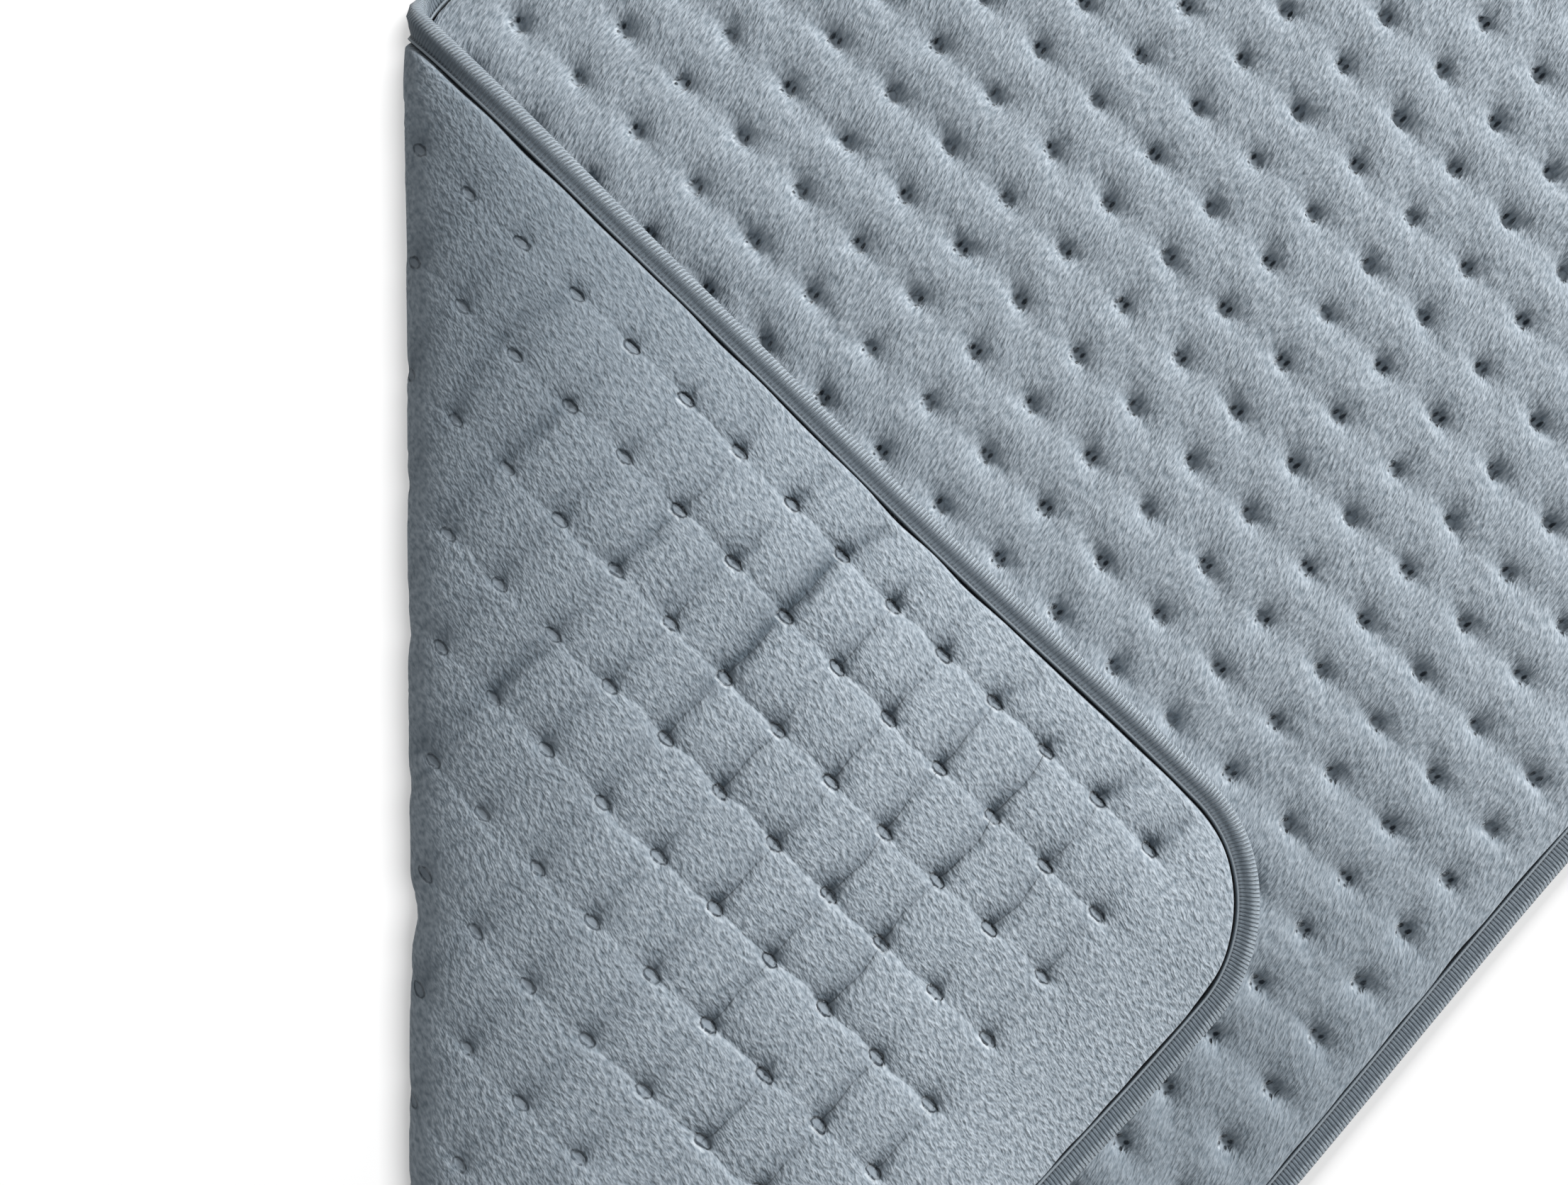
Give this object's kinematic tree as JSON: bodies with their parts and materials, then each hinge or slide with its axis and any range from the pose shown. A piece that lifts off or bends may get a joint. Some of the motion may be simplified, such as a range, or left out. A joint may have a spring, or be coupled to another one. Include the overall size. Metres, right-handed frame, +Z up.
{
  "type": "heating pad",
  "caption": "Flat quilted plush heating pad with rounded corners and an overlocked rim, lying with a corner folded over onto its top.",
  "frame": {"origin": "on the surface that the pad rests on, under the centre of the bounding box, which is the centre of the pad's outline", "axes": "+X across the pad's width, +Y along its length, +Z up; the folded corner is the one at -X, -Y"},
  "size_m": [0.4322, 0.8381, 0.0235],
  "materials": {
    "plush": "blue-grey micro-plush with a short brushed pile, matte with a soft sheen where the pile leans to the light",
    "binding_yarn": "darker blue-grey overlock yarn in fine close ribs across the rim, matte"
  },
  "bodies": {
    "root": {"quilted_pad": "plush", "edge_binding": "binding_yarn"}
  },
  "joints": []
}
